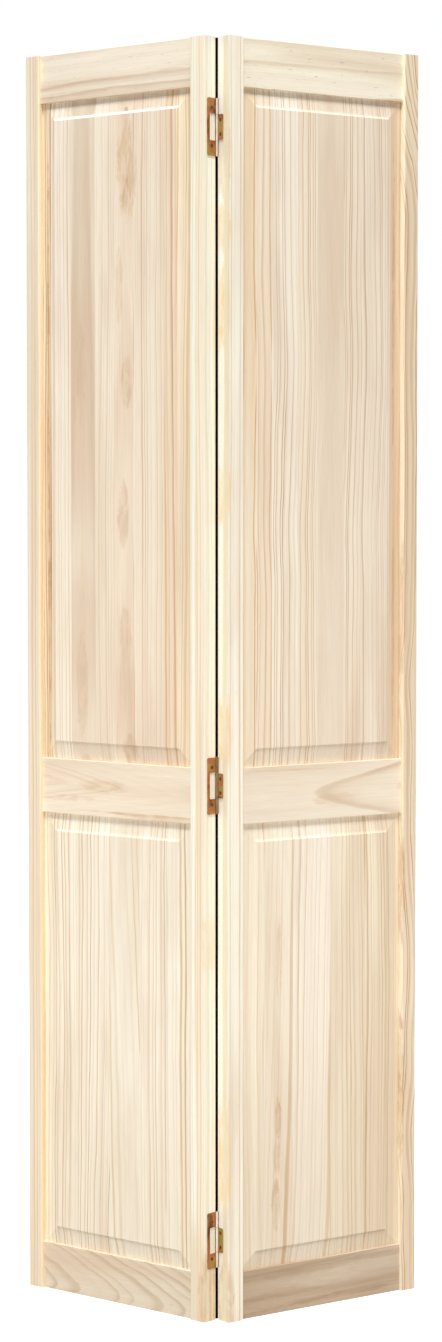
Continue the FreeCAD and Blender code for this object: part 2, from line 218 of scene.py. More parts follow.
# Limits within which a strip's numbers are stored in the channels of a ramp
CUT_LIMITS = ((-1.0, 3.0), (-0.5, 0.5), (0.0, 0.05))
SLOPE_LIMITS = ((-0.5, 0.5), (-0.5, 0.5), (0.0, 2.0))
LOG_LIMITS = ((0.0, 40.0), (0.0, 1.0))

# The late wood's strength across one ring, from the pith side outwards, as a sharp and a soft line
RING_PROFILE = [(0.0, 0.0), (0.40, 0.04), (0.64, 0.25), (0.80, 0.85), (0.89, 1.0), (0.96, 0.7), (1.0, 0.0)]
SOFT_PROFILE = [(0.0, 0.1), (0.25, 0.0), (0.55, 0.3), (0.82, 0.9), (0.93, 0.6), (1.0, 0.1)]

# How much the pith line strays from side to side, in slow and in quick waves, in metres
SLOW_SWAY = 0.022
QUICK_SWAY = 0.004

# Uneven growth shifts the rings by up to this many, in this many waves to a ring
UNEVEN_GROWTH = 2.4
UNEVEN_RATE = 0.35

# Rings past the radius that a board shows have this strength, and they fade to it over this distance
# to each side of that radius, in metres
FAINT = 0.12
FADE_REACH = 0.005

# Rings swell out round a knot. These are the half width and half length of the oval where they do, how
# far they are pushed, and the knot's own half length, all as shares of its half width.
SWELL_WIDTH = 2.5
SWELL_LENGTH = 6.0
SWELL = 2.0
KNOT_LENGTH = 1.5

# How much of its own colour a knot shows
KNOT_AMOUNT = 0.55

# Stains and painted shades with at least this half width are soft, with a smooth rim. Other rims are this
# ragged.
WIDE_STAIN = 0.05
RAGGEDNESS = 1.7

# How far a fill's ends are torn and where it starts to fade, as shares of its half length
FILL_TEAR = 0.8
FILL_SOLID = 0.3

# Fibre relief: depth in metres, how much of it is used, and the shares of late wood and fibres
RELIEF_DEPTH = 0.0004
RELIEF_STRENGTH = 0.25
LINE_RELIEF = 0.6
FIBRE_RELIEF = 0.5

# Wood colours, with the colours of a painted highlight and of painted shade among them
BLEACHED = tint(255, 249, 234)
TAN_STREAK = tint(224, 194, 160)
PINK_MOTTLE = tint(228, 202, 180)
CLOUD = tint(222, 196, 168)
CLEAR = tint(252, 241, 222)
PINK_STAIN = tint(220, 188, 160)
TAN_STAIN = tint(224, 194, 158)
ORANGE_STAIN = tint(246, 214, 164)
BROWN_STAIN = tint(204, 164, 122)
DARK_STAIN = tint(158, 124, 94)
# Painted shade, darker towards the bottom of the lower panels
LOWER_PANEL_SHADE = tint(222, 202, 175)
PALE_STAIN = tint(218, 200, 174)
KNOT = tint(186, 138, 104)
DUCT = tint(176, 138, 104)
END_GRAIN = tint(208, 172, 128)
# The colour of a painted highlight on slopes that face up
UPWARD_SLOPE_HIGHLIGHT = tint(255, 252, 245)


def leaf_places(graph, side):
    """The across, depth and height sockets of a point of one leaf, and its outward direction."""
    turn = side * LEAF_TURN
    outwards = Vector((side * math.cos(turn), side * math.sin(turn), 0))
    backwards = Vector((-math.sin(turn), math.cos(turn), 0))
    point = graph.coordinate("Object")
    across = graph.math("SUBTRACT", graph.dot(point, outwards), outwards.dot(AXIS))
    depth = graph.math("SUBTRACT", graph.dot(point, backwards), backwards.dot(AXIS))
    return across, depth, graph.dot(point, UP), outwards


def strip_stops(board, values):
    """Ramp stops with one value for each strip."""
    stops, start = [], 0.0
    for strip, value in zip(board.strips, values):
        stops.append((start / board.width, value))
        start += strip.width
    return stops


def strip_numbers(graph, board, spot, limits, rows):
    """Sockets that hold two or three numbers of whichever strip a point is in."""
    stored = []
    for row in rows:
        shares = [(value - low) / (high - low) for value, (low, high) in zip(row, limits)]
        spare = [0.0] * (3 - len(shares))
        stored.append((*shares, *spare, 1.0))
    colour = graph.ramp(spot.position, strip_stops(board, stored), "CONSTANT")
    channels = graph.add("ShaderNodeSeparateColor", {"Color": colour}).outputs
    return [graph.math("MULTIPLY_ADD", channel, high - low, low)
            for channel, (low, high) in zip(channels, limits)]


def strip_colour(graph, board, spot, colours):
    """The colour of whichever strip a point is in, from one display colour for each."""
    stops = strip_stops(board, [tint(*colour) for colour in colours])
    return graph.ramp(spot.position, stops, "CONSTANT")


def blot(graph, spot, centre, half_width, half_length, ragged=0.0):
    """1 at the middle of an oval on a board's face, falling to 0 at its rim, which ragged pulls about."""
    x = graph.math("DIVIDE", graph.math("SUBTRACT", spot.wide, centre[0]), half_width)
    y = graph.math("DIVIDE", graph.math("SUBTRACT", spot.length, centre[1]), half_length)
    reach = graph.math("ADD", graph.math("MULTIPLY", x, x), graph.math("MULTIPLY", y, y))
    return graph.span(graph.math("ADD", reach, ragged), 0.3, 1.0, 1.0, 0.0)


def pith_radius(graph, board, spot, lean, taper):
    """Sockets: a point's radius from the pith line, which leans, wanders and sweeps, and the spacing."""
    along = graph.math("SUBTRACT", spot.length, board.middle)
    cuts = [(*strip.pith, strip.spacing) for strip in board.strips]
    across, pith_depth, spacing = strip_numbers(graph, board, spot, CUT_LIMITS, cuts)
    slow = graph.math("SUBTRACT", graph.grain(spot.place, 9.0, 1.4, detail=1.0), 0.5)
    quick = graph.math("SUBTRACT", graph.grain(spot.place, 45.0, 8.0), 0.5)
    sway = graph.math("ADD", graph.math("MULTIPLY", slow, SLOW_SWAY * board.wander),
                      graph.math("MULTIPLY", quick, QUICK_SWAY * board.wander))
    pith = graph.math("MULTIPLY_ADD", lean, along, across)
    for centre, shift, reach in board.sweeps:
        away = graph.math("ABSOLUTE", graph.math("SUBTRACT", spot.length, centre))
        pith = graph.math("ADD", pith, graph.span(away, 0.0, reach, shift, 0.0))
    sideways = graph.math("ADD", graph.math("SUBTRACT", spot.wide, pith), sway)
    inwards = graph.math("SUBTRACT", spot.depth, pith_depth)
    radius = graph.math("SQRT", graph.math("ADD", graph.math("MULTIPLY", sideways, sideways),
                                           graph.math("MULTIPLY", inwards, inwards)))
    return graph.math("MULTIPLY_ADD", taper, along, radius), spacing


def growth_rings(graph, board, spot):
    """Sockets: the late wood's strength, from 0 to about 1, and nearness to a knot."""
    slopes = [(strip.lean, strip.taper, strip.lines) for strip in board.strips]
    lean, taper, lines = strip_numbers(graph, board, spot, SLOPE_LIMITS, slopes)
    radius, spacing = pith_radius(graph, board, spot, lean, taper)
    near_knot = 0.0
    for centre, size in board.knots:
        swell = blot(graph, spot, centre, size * SWELL_WIDTH, size * SWELL_LENGTH)
        radius = graph.math("MULTIPLY_ADD", swell, size * SWELL, radius)
        near_knot = graph.math("MAXIMUM", near_knot, blot(graph, spot, centre, size, size * KNOT_LENGTH))

    # Early wood darkens outwards into a late line with a sharp outer side
    even = graph.math("DIVIDE", radius, spacing)
    uneven = graph.noise_1d(graph.math("MULTIPLY", even, UNEVEN_RATE))
    rings = graph.math("MULTIPLY_ADD", uneven, UNEVEN_GROWTH, even)
    number = graph.math("FLOOR", rings)
    within = graph.math("SUBTRACT", rings, number)
    line = graph.ramp(within, RING_PROFILE)
    if board.soft:
        line = graph.mix(board.soft, line, graph.ramp(within, SOFT_PROFILE))

    # Rings differ in strength, from one to the next and along each
    own = graph.add("ShaderNodeTexWhiteNoise", {"W": graph.math("ADD", number, board.seed)},
                    noise_dimensions="1D").outputs["Value"]
    patches = graph.grain(spot.place, 25.0, 2.0)
    strength = graph.math("MULTIPLY", graph.span(own, 0.0, 1.0, 0.2, 1.1),
                          graph.span(patches, 0.3, 0.7, 0.65, 1.1))
    if board.seen_to is not None:
        shown = graph.span(radius, board.seen_to - FADE_REACH, board.seen_to + FADE_REACH, 1.0, FAINT)
        strength = graph.math("MULTIPLY", strength, shown)
    return graph.math("MULTIPLY", graph.math("MULTIPLY", line, strength), lines), near_knot


def toned(graph, board, spot, streaks, clouds):
    """The early wood's colour, with long streaks, soft mottling and broad patches."""
    bands = graph.grain(spot.place, 75.0, 0.9, detail=3.0, roughness=0.6)
    mottle = graph.grain(spot.place, 16.0, 4.0, detail=3.0)
    bleach = graph.math("MULTIPLY", graph.span(bands, 0.50, 0.66), streaks)
    tan = graph.math("MULTIPLY", graph.span(bands, 0.50, 0.34, 0.0, 0.8), streaks)
    colour = strip_colour(graph, board, spot, [strip.pale for strip in board.strips])
    for amount, tone in ((bleach, BLEACHED),
                         (tan, TAN_STREAK),
                         (graph.span(mottle, 0.50, 0.75, 0.0, 0.3), PINK_MOTTLE),
                         (graph.span(clouds, 0.52, 0.32, 0.0, board.clouds), CLOUD),
                         (graph.span(clouds, 0.50, 0.68, 0.0, board.clouds), CLEAR)):
        colour = graph.mix(amount, colour, tone)
    return colour


def filled(graph, board, spot, colour, clouds):
    """A colour with the board's fills, each from side to side of its strip and fading out along it."""
    for centre, half_width, half_length, amount, tone in board.fills:
        strip_only = graph.math("COMPARE", spot.wide, centre[0], half_width)
        away = graph.math("ABSOLUTE", graph.math("SUBTRACT", spot.length, centre[1]))
        torn = graph.math("SUBTRACT", clouds, 0.5)
        away = graph.math("MULTIPLY_ADD", torn, FILL_TEAR * half_length, away)
        along = graph.span(away, FILL_SOLID * half_length, half_length, amount, 0.0)
        colour = graph.mix(graph.math("MULTIPLY", along, strip_only), colour, tone)
    return colour


def stained_and_shaded(graph, board, spot, colour):
    """A colour with the board's stains and painted shades. The narrow ones have ragged rims and uneven
    insides.
    """
    rough_edge = graph.grain(spot.place, 85.0, 22.0, detail=4.0, roughness=0.65, distortion=0.8)
    ragged = graph.math("MULTIPLY", graph.math("SUBTRACT", rough_edge, 0.5), RAGGEDNESS)
    inside = graph.span(rough_edge, 0.38, 0.60, 1.0, 0.45)
    for centre, half_width, half_length, amount, tone in board.stains_and_shades:
        if half_width < WIDE_STAIN:
            blot_share = blot(graph, spot, centre, half_width, half_length, ragged)
            blot_share = graph.math("MULTIPLY", blot_share, inside)
        else:
            blot_share = blot(graph, spot, centre, half_width, half_length)
        colour = graph.mix(graph.math("MULTIPLY", blot_share, amount), colour, tone)
    return colour


def end_grain_and_slope_highlight(graph, board, colour, facing):
    """Sawn ends drink in light. Slopes that face up are paler, a painted highlight standing in for the
    light from above.
    """
    upwards = graph.dot(facing, UP)
    if board.along == "height":
        end_on = graph.math("ABSOLUTE", upwards)
        colour = graph.mix(graph.span(end_on, 0.85, 0.98, 0.0, 0.45), colour, END_GRAIN)
    # Painted highlight: slopes that face up turn paler
    if board.slope:
        colour = graph.mix(graph.span(upwards, 0.12, 0.30, 0.0, board.slope), colour, UPWARD_SLOPE_HIGHLIGHT)
    return colour


def wood(board, side):
    """The material of one board."""
    graph = MaterialGraph(board.name)
    across, depth, height, outwards = leaf_places(graph, side)
    wide, length = (across, height) if board.along == "height" else (height, across)
    position = graph.math("DIVIDE", graph.math("SUBTRACT", wide, board.start), board.width)
    spot = Spot(wide, length, depth, position)

    # Each strip is from another log, so its noise is read somewhere else
    logs = [(log, strip.streaks) for log, strip in enumerate(board.strips)]
    apart, streaks = strip_numbers(graph, board, spot, LOG_LIMITS, logs)
    read_from = graph.math("ADD", graph.math("ADD", length, apart), board.seed)
    spot.place = graph.combine(wide, depth, read_from)

    line, near_knot = growth_rings(graph, board, spot)
    clouds = graph.grain(spot.place, 14.0, 1.3)
    fibres = graph.grain(spot.place, 1400.0, 20.0)
    threads = graph.grain(spot.place, 430.0, 7.0, detail=3.0, roughness=0.6)
    ducts = graph.grain(spot.place, 800.0, 60.0, detail=0.0)
    facing = graph.coordinate("Normal")
    colour = toned(graph, board, spot, streaks, clouds)
    late = strip_colour(graph, board, spot, [strip.late for strip in board.strips])

    # Faces turned across the leaf, its edges and the stiles' inner walls, take paler colours: a painted
    # highlight standing in for the brighter light on them. Their flat-cut rings are faint
    if board.edge:
        edge_on = graph.math("ABSOLUTE", graph.dot(facing, outwards))
        edge_highlight_share = graph.span(edge_on, 0.7, 0.95, 0.0, board.edge)
        colour = graph.mix(edge_highlight_share, colour, board.edge_highlight_colour)
        late = graph.mix(edge_highlight_share, late, board.edge_highlight_late)

    colour = filled(graph, board, spot, colour, clouds)
    colour = stained_and_shaded(graph, board, spot, colour)
    colour = graph.mix(line, colour, late)
    if board.knots:
        colour = graph.mix(graph.math("MULTIPLY", near_knot, KNOT_AMOUNT), colour, KNOT)
    colour = graph.mix(graph.span(ducts, 0.76, 0.84, 0.0, board.flecks), colour, DUCT)
    colour = end_grain_and_slope_highlight(graph, board, colour, facing)

    # Fine fibres and threads shade the colour, and the fibres and the late wood stand a little proud
    shade = graph.math("MULTIPLY", graph.span(fibres, 0.25, 0.75, 0.955, 1.03),
                       graph.span(threads, 0.28, 0.72, 0.97, 1.025))
    shaded = graph.add("ShaderNodeVectorMath", {0: colour, "Scale": shade}, operation="SCALE")
    relief = graph.math("MULTIPLY_ADD", line, LINE_RELIEF, graph.math("MULTIPLY", fibres, FIBRE_RELIEF))
    bump = graph.add("ShaderNodeBump", {"Strength": RELIEF_STRENGTH, "Distance": RELIEF_DEPTH,
                                        "Height": relief})
    return graph.finish(graph.add("ShaderNodeBsdfPrincipled", {
        "Base Color": shaded.outputs[0], "Roughness": graph.span(fibres, 0.2, 0.8, 0.52, 0.68),
        "Normal": bump.outputs[0], "Specular IOR Level": 0.3}))


# Where the boards start: stiles and panels across a leaf, from the hinge axis, and rails in height
HINGE_STILE_START = 0.001
PANEL_START = 0.0245
OUTER_STILE_START = 0.34865
RAIL_STARTS = {level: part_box(f"left_{level}_rail")[0].z for level in LEVELS}

# One strip of this width covers any rail
WHOLE_RAIL = 0.11

# About the middle of a rail, along its grain
RAIL_MIDDLE = 0.19

# The rings of a stile stand on edge at its face, because its pith is this far beside its start, at
# this depth
STILE_PITH = (0.16, -0.10)

# Pale colours for the edges beside the gap, a painted highlight
APEX_EDGE_HIGHLIGHT = {"edge_highlight_colour": tint(247, 246, 234), "edge_highlight_late": tint(240, 230, 200)}


def stile(start, spacing, *zones):
    """A stile's strips. Zones of one board share their pith, so their rings run on unbroken."""
    pith = (start + STILE_PITH[0], STILE_PITH[1])
    return [Strip(width, pith, spacing, *rest) for width, *rest in zones]


BOARDS = {
    "left": {
        "hinge_stile": Board(
            "left hinge stile pine", HINGE_STILE_START,
            stile(HINGE_STILE_START, 0.0056,
                  (0.016, (255, 243, 220), (238, 210, 174), 1.1, 0.3),
                  (0.020, (255, 253, 238), (238, 220, 180), 1.4, 0.2)),
            seed=3.1, wander=0.6, clouds=0.0, edge=0.9, **APEX_EDGE_HIGHLIGHT,
            stains_and_shades=(((0.000, 0.60), 0.007, 0.05, 0.5, ORANGE_STAIN),
                    ((0.000, 0.02), 0.016, 0.10, 0.8, BROWN_STAIN),
                    ((0.035, -0.02), 0.060, 0.22, 0.5, TAN_STAIN))),
        "outer_stile": Board(
            "left outer stile pine", OUTER_STILE_START,
            stile(OUTER_STILE_START, 0.0056, (0.03, (246, 230, 203), (216, 186, 150), 1.4, 0.3)),
            seed=5.7, wander=0.5, edge=0.6),
        "top_rail": Board(
            "left top rail pine", RAIL_STARTS["top"],
            [Strip(WHOLE_RAIL, (1.905, -0.060), 0.0150, (240, 224, 202), (212, 183, 156), 0.8, 0.45,
                   lean=0.06, taper=0.03)],
            along="across", middle=RAIL_MIDDLE, seed=8.2, wander=3.2, clouds=0.9, soft=0.95, flecks=0.6),
        "middle_rail": Board(
            "left middle rail pine", RAIL_STARTS["middle"],
            [Strip(WHOLE_RAIL, (0.834, -0.020), 0.0100, (250, 235, 213), (208, 176, 142), 0.8, 0.1,
                   lean=0.03, taper=-0.165)],
            along="across", middle=0.15, seed=4.4, wander=1.4, clouds=0.35, soft=0.9, seen_to=0.004,
            stains_and_shades=(((0.7925, 0.13), 0.0026, 0.13, 0.6, BROWN_STAIN),
                    ((0.790, 0.08), 0.006, 0.10, 0.5, TAN_STAIN),
                    ((0.834, 0.215), 0.012, 0.06, 0.5, TAN_STAIN),
                    ((0.812, 0.30), 0.006, 0.07, 0.4, TAN_STAIN))),
        "bottom_rail": Board(
            "left bottom rail pine", RAIL_STARTS["bottom"],
            [Strip(WHOLE_RAIL, (0.012, 0.006), 0.0085, (231, 219, 198), (204, 180, 150), 0.75, 0.15,
                   lean=0.02, taper=-0.20)],
            along="across", middle=RAIL_MIDDLE, seed=2.9, wander=2.6, clouds=0.6, soft=0.2, flecks=0.4),
        "upper_panel": Board(
            "left upper panel pine", PANEL_START,
            [Strip(0.038, (0.20, -0.06), 0.0072, (252, 236, 206), (222, 186, 138), 1.0, 0.3),
             Strip(0.025, (0.30, -0.02), 0.0080, (243, 218, 186), (210, 166, 123), 0.9, 0.4),
             Strip(0.064, (0.30, -0.10), 0.0058, (249, 233, 211), (218, 186, 156), 0.9, 0.2),
             Strip(0.040, (0.172, 0.03), 0.0150, (253, 237, 215), (222, 192, 162), 0.4, 0.1, taper=0.02),
             Strip(0.041, (-0.1, -0.06), 0.0056, (253, 241, 220), (222, 196, 164), 0.6, 0.2),
             Strip(0.052, (0.260, 0.03), 0.0110, (242, 226, 203), (210, 182, 155), 0.6, 0.05, taper=0.01),
             Strip(0.045, (0.50, -0.04), 0.0080, (254, 244, 226), (226, 200, 168), 0.9, 0.3),
             # This last strip, by the outer stile, is darker and warmer: partly its own grain, partly
             # painted shade and warm bounced light
             Strip(0.025, (0.50, -0.04), 0.0060, (240, 218, 184), (188, 144, 98), 1.3, 0.2)],
            seed=4.4, slope=0.9, knots=(((0.168, 1.906), 0.005),),
            fills=(((0.2585, 1.44), 0.026, 0.28, 0.42, PINK_STAIN),
                   ((0.2585, 1.08), 0.026, 0.16, 0.42, PINK_STAIN),
                   ((0.1715, 0.96), 0.020, 0.11, 0.35, PINK_STAIN)),
            stains_and_shades=(((0.166, 1.815), 0.022, 0.090, 0.9, TAN_STAIN),
                    ((0.168, 1.775), 0.007, 0.040, 0.5, BROWN_STAIN),
                    ((0.262, 1.50), 0.012, 0.10, 0.25, BROWN_STAIN),
                    ((0.3365, 1.52), 0.0035, 0.38, 0.9, BROWN_STAIN),
                    ((0.3350, 1.10), 0.0040, 0.26, 0.9, BROWN_STAIN),
                    ((0.166, 1.48), 0.013, 0.050, 0.8, TAN_STAIN),
                    ((0.182, 1.63), 0.010, 0.060, 0.5, TAN_STAIN),
                    ((0.174, 1.27), 0.013, 0.060, 0.6, PINK_STAIN),
                    ((0.262, 1.00), 0.014, 0.10, 0.3, BROWN_STAIN),
                    ((0.168, 1.08), 0.016, 0.050, 0.6, TAN_STAIN),
                    ((0.160, 0.895), 0.018, 0.030, 0.5, BROWN_STAIN))),
        "lower_panel": Board(
            "left lower panel pine", PANEL_START,
            [Strip(0.060, (0.20, -0.06), 0.0085, (255, 248, 230), (210, 177, 136), 1.35, 0.35),
             Strip(0.055, (0.35, -0.06), 0.0082, (255, 246, 228), (214, 181, 142), 1.35, 0.35),
             Strip(0.065, (0.02, -0.05), 0.0110, (255, 249, 232), (228, 202, 164), 0.9, 0.1, lean=0.03),
             Strip(0.070, (0.50, -0.06), 0.0078, (255, 247, 229), (211, 177, 137), 1.5, 0.3),
             Strip(0.080, (0.05, -0.06), 0.0085, (255, 246, 226), (212, 179, 139), 1.5, 0.3)],
            seed=6.6, wander=1.4, slope=0.1, clouds=0.4,
            # Painted shade, darker towards the bottom
            stains_and_shades=(((0.150, -0.25), 1.00, 0.70, 0.2, LOWER_PANEL_SHADE),)),
    },
    "right": {
        "hinge_stile": Board(
            "right hinge stile pine", HINGE_STILE_START,
            stile(HINGE_STILE_START, 0.0080, (0.036, (255, 250, 233), (234, 205, 168), 1.1, 0.35)),
            seed=13.1, wander=0.6, clouds=0.3, edge=0.9, **APEX_EDGE_HIGHLIGHT,
            stains_and_shades=(((0.000, 1.59), 0.007, 0.07, 0.9, ORANGE_STAIN),
                    ((0.000, 1.71), 0.007, 0.04, 0.8, ORANGE_STAIN),
                    ((0.000, 0.93), 0.007, 0.06, 0.8, ORANGE_STAIN),
                    ((0.000, 1.83), 0.006, 0.08, 0.5, TAN_STAIN),
                    ((0.000, 0.26), 0.008, 0.10, 0.8, ORANGE_STAIN),
                    ((0.000, 1.30), 0.007, 0.05, 0.6, ORANGE_STAIN),
                    ((0.000, 0.02), 0.016, 0.08, 0.8, TAN_STAIN))),
        "outer_stile": Board(
            "right outer stile pine", OUTER_STILE_START,
            stile(OUTER_STILE_START, 0.0070, (0.03, (240, 221, 192), (188, 146, 100), 1.5, 0.5)),
            seed=15.7, wander=2.4, clouds=0.5,
            # Paler colours on this stile's edge and inner wall, a painted highlight
            edge=0.8, edge_highlight_colour=tint(255, 248, 226), edge_highlight_late=tint(240, 218, 176),
            sweeps=((2.03, -0.06, 0.30), (0.55, 0.010, 0.15), (1.0, -0.008, 0.1), (0.25, -0.009, 0.12)),
            stains_and_shades=(((0.347, 0.66), 0.007, 0.10, 0.6, BROWN_STAIN),
                    ((0.347, 0.34), 0.007, 0.13, 0.7, BROWN_STAIN),
                    ((0.347, 1.10), 0.005, 0.14, 0.4, BROWN_STAIN))),
        "top_rail": Board(
            "right top rail pine", RAIL_STARTS["top"],
            [Strip(WHOLE_RAIL, (1.900, -0.065), 0.0200, (252, 242, 220), (210, 186, 152), 1.0, 0.15,
                   lean=-0.05, taper=-0.08)],
            along="across", middle=RAIL_MIDDLE, seed=18.2, wander=2.4, clouds=0.9, soft=0.8, flecks=0.8),
        "middle_rail": Board(
            "right middle rail pine", RAIL_STARTS["middle"],
            [Strip(WHOLE_RAIL, (0.812, -0.002), 0.0220, (247, 233, 212), (212, 183, 151), 1.0, 0.1,
                   lean=0.03, taper=-0.158)],
            along="across", middle=-0.073, seed=11.4, wander=1.5, clouds=0.5, soft=0.5, seen_to=-0.010,
            stains_and_shades=(((0.815, 0.215), 0.014, 0.050, 0.4, TAN_STAIN),
                    ((0.866, 0.12), 0.0018, 0.10, 0.6, TAN_STAIN))),
        "bottom_rail": Board(
            "right bottom rail pine", RAIL_STARTS["bottom"],
            [Strip(WHOLE_RAIL, (-0.10, -0.08), 0.0110, (184, 160, 133), (164, 135, 107), 0.4, 0.05,
                   lean=0.02)],
            along="across", middle=RAIL_MIDDLE, seed=12.9, wander=2.2, clouds=0.25, soft=0.9, flecks=0.5,
            stains_and_shades=(((0.044, 0.20), 0.015, 0.09, 0.5, PALE_STAIN),
                    ((0.052, 0.27), 0.010, 0.07, 0.3, PALE_STAIN),
                    ((0.030, 0.10), 0.006, 0.10, 0.25, DARK_STAIN),
                    ((0.012, 0.20), 0.006, 0.16, 0.35, DARK_STAIN),
                    ((0.062, 0.08), 0.008, 0.09, 0.25, DARK_STAIN),
                    ((0.066, 0.31), 0.007, 0.09, 0.2, DARK_STAIN))),
        "upper_panel": Board(
            "right upper panel pine", PANEL_START,
            [Strip(0.034, (0.20, -0.06), 0.0080, (243, 221, 190), (206, 163, 120), 1.0, 0.3),
             Strip(0.030, (0.20, -0.06), 0.0088, (249, 232, 207), (208, 166, 126), 0.8, 0.2),
             Strip(0.050, (0.40, -0.06), 0.0080, (254, 244, 226), (206, 171, 136), 1.3, 0.2),
             Strip(0.040, (-0.1, -0.06), 0.0072, (246, 230, 207), (208, 174, 138), 1.2, 0.1),
             Strip(0.052, (0.205, 0.04), 0.0120, (240, 223, 201), (208, 181, 153), 0.6, 0.1, taper=0.01),
             Strip(0.034, (0.50, -0.06), 0.0072, (245, 229, 207), (200, 164, 130), 1.2, 0.1),
             Strip(0.060, (0.05, -0.06), 0.0070, (245, 231, 211), (208, 179, 149), 1.1, 0.2),
             # This last strip, by the outer stile, is darker and warmer: partly its own grain, partly
             # painted shade and warm bounced light
             Strip(0.030, (0.05, -0.06), 0.0140, (230, 203, 170), (208, 170, 128), 0.8, 0.3)],
            seed=14.4, slope=0.1, sweeps=((1.50, 0.004, 0.16), (1.25, -0.003, 0.1)),
            stains_and_shades=(((0.3330, 1.60), 0.0035, 0.30, 0.6, BROWN_STAIN),
                    ((0.3340, 1.10), 0.0035, 0.22, 0.6, BROWN_STAIN))),
        "lower_panel": Board(
            "right lower panel pine", PANEL_START,
            [Strip(0.048, (0.20, -0.06), 0.0085, (250, 238, 215), (222, 192, 156), 0.7, 0.35),
             Strip(0.058, (0.35, -0.06), 0.0095, (251, 239, 218), (212, 178, 139), 0.9, 0.35, lean=0.03),
             Strip(0.075, (0.02, -0.06), 0.0090, (254, 244, 228), (222, 192, 158), 0.9, 0.15, lean=0.02),
             Strip(0.070, (0.50, -0.06), 0.0078, (250, 238, 214), (212, 182, 142), 1.1, 0.15),
             Strip(0.090, (0.05, -0.06), 0.0080, (249, 236, 211), (208, 176, 136), 1.1, 0.15)],
            seed=16.6, wander=1.3, clouds=0.35,
            stains_and_shades=(((0.102, 0.310), 0.008, 0.040, 0.8, BROWN_STAIN),
                    ((0.100, 0.250), 0.009, 0.030, 0.5, BROWN_STAIN),
                    ((0.098, 0.175), 0.010, 0.045, 0.8, BROWN_STAIN),
                    ((0.104, 0.560), 0.007, 0.080, 0.5, TAN_STAIN),
                    # Painted shade, darker towards the bottom and towards the right
                    ((0.200, -0.25), 1.00, 0.75, 0.36, LOWER_PANEL_SHADE),
                    ((0.370, 0.10), 0.150, 0.70, 0.22, LOWER_PANEL_SHADE))),
    },
}

BEECH = [(0.3, tint(206, 166, 120)), (0.7, tint(226, 190, 146))]


def dowel_wood():
    """Beech dowels: plain, fine and a little darker than the pine."""
    graph = MaterialGraph("beech dowels")
    fleck = graph.noise(graph.coordinate("Object"), (400.0, 400.0, 900.0))
    return graph.finish(graph.add("ShaderNodeBsdfPrincipled", {
        "Base Color": graph.ramp(fleck, BEECH), "Roughness": 0.6}))


# ---- Metals ----

COPPER = tint(182, 126, 84)
BROWN_COPPER = tint(152, 108, 80)
DARK_COPPER = tint(122, 82, 58)
GOLD = tint(190, 150, 84)
OLIVE = tint(160, 156, 92)
# Painted shade on the knuckles' sides
KNUCKLE_SIDE_SHADE = tint(74, 56, 38)
# Knuckle tones where they face forwards; the pale ones are a painted highlight
PALE_BARREL_HIGHLIGHT = [(0.3, tint(232, 222, 200)), (0.5, tint(244, 230, 226)), (0.7, tint(222, 214, 180))]
DARK_BARREL = [(0.3, tint(132, 104, 76)), (0.5, tint(150, 126, 94)), (0.7, tint(120, 108, 76))]
OUTER_TONES = [(0.34, DARK_COPPER), (0.46, COPPER), (0.58, COPPER), (0.70, GOLD), (0.84, OLIVE)]
INNER_TONES = [(0.30, BROWN_COPPER), (0.40, COPPER), (0.52, GOLD), (0.66, OLIVE)]
PIN_TONES = [(0.3, tint(96, 84, 66)), (0.7, tint(120, 108, 88))]
SCREW_TONES = [(0.3, tint(112, 84, 58)), (0.7, tint(142, 110, 76))]

# Just outside the knuckles, and how far their tones reach past that, in metres
BARREL_RADIUS = 0.0027
BARREL_BLEND = 0.0004

# The bow of the inner leaves' tones. The outer leaves' stops are moved by this share of their own bow,
# which roughly makes up for its mean.
INNER_BOW = -2.4
BOW_SHIFT = 0.06

# Sizes of the patches of tone, in metres
OUTER_PATCH = 0.016
INNER_PATCH = 0.014
PIN_PATCH = 0.010
SCREW_PATCH = 0.004

ZINC_ROUGHNESS = 0.34
PIN_ROUGHNESS = 0.35
SCREW_ROUGHNESS = 0.38


def tone_patches(graph, size):
    """Soft patches, a little longer than wide."""
    repeats = (1 / size, 1 / size, 0.6 / size)
    return graph.noise(graph.coordinate("Object"), repeats, distortion=0.6)


def brushed_metal(graph, colour, roughness):
    """Metal of one colour socket, brushed finely up and down."""
    brushed = graph.noise(graph.coordinate("Object"), (2500.0, 2500.0, 120.0))
    rough = graph.span(brushed, 0.2, 0.8, roughness - 0.06, roughness + 0.10)
    bump = graph.add("ShaderNodeBump", {"Strength": 0.15, "Distance": 0.0002, "Height": brushed})
    return graph.finish(graph.add("ShaderNodeBsdfPrincipled", {
        "Base Color": colour, "Metallic": 1.0, "Roughness": rough, "Normal": bump.outputs[0]}))


def plated_steel(name, tones, patch_size, roughness):
    """Plated steel in small patches of tone."""
    graph = MaterialGraph(name)
    return brushed_metal(graph, graph.ramp(tone_patches(graph, patch_size), tones), roughness)


